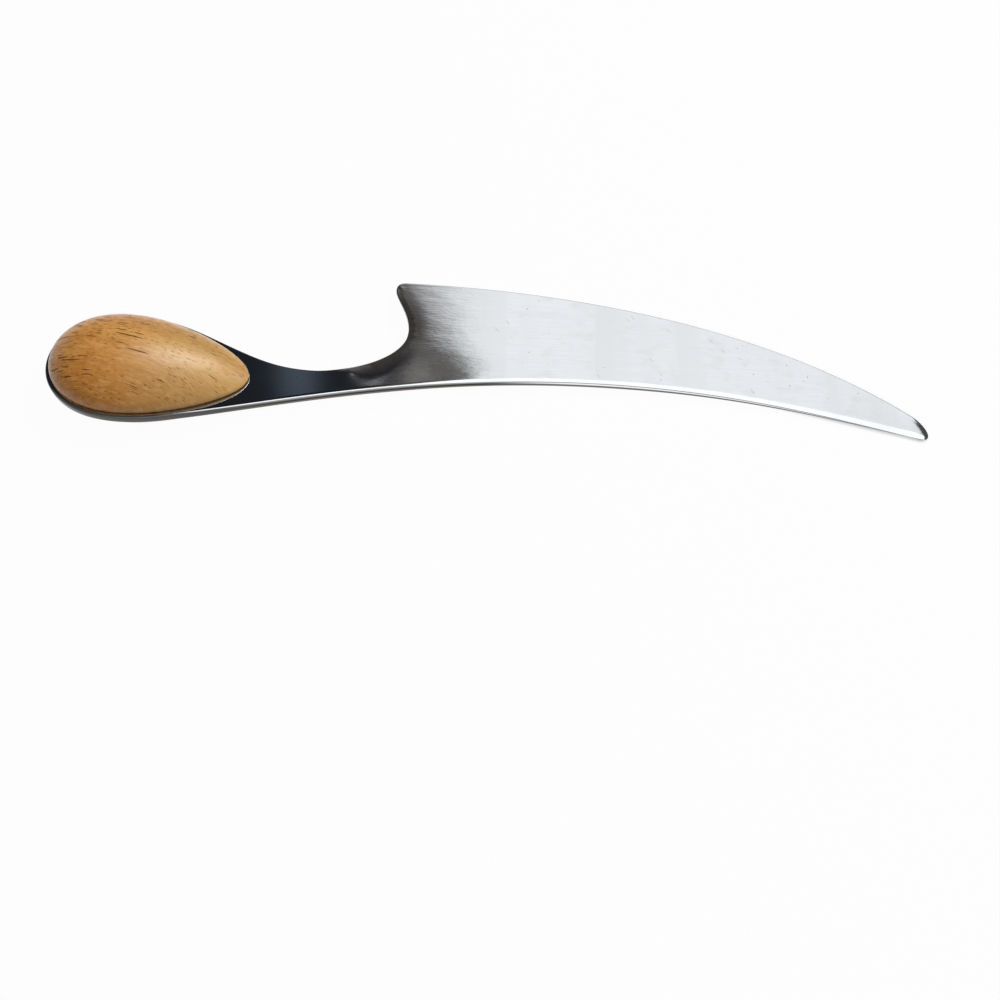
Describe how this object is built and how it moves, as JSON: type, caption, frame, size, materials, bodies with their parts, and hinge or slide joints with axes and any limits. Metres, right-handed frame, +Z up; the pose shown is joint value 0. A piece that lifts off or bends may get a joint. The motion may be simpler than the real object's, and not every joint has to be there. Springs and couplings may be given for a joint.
{
  "type": "cheese knife",
  "caption": "Flat steel cheese knife with a long convex edge, a hollow back, a finger notch under a hooked heel and an egg-shaped handle of wood scales on the tang.",
  "frame": {"origin": "on the table under the middle of the knife's box, with the knife lying as it comes to rest", "axes": "+X from the handle to the tip, +Y to the cutting edge, +Z up from the table"},
  "size_m": [0.2458, 0.052, 0.0196],
  "materials": {
    "steel": "fine lengthwise grain on the blade, polished on the neck",
    "wood": "satin lacquer over open grain",
    "adhesive": "cured adhesive",
    "brass": "turned"
  },
  "bodies": {
    "root": {"blade": "steel", "front_scale": "wood", "rear_scale": "wood", "front_bond": "adhesive", "rear_bond": "adhesive", "fore_pin": "brass", "aft_pin": "brass"}
  },
  "joints": []
}
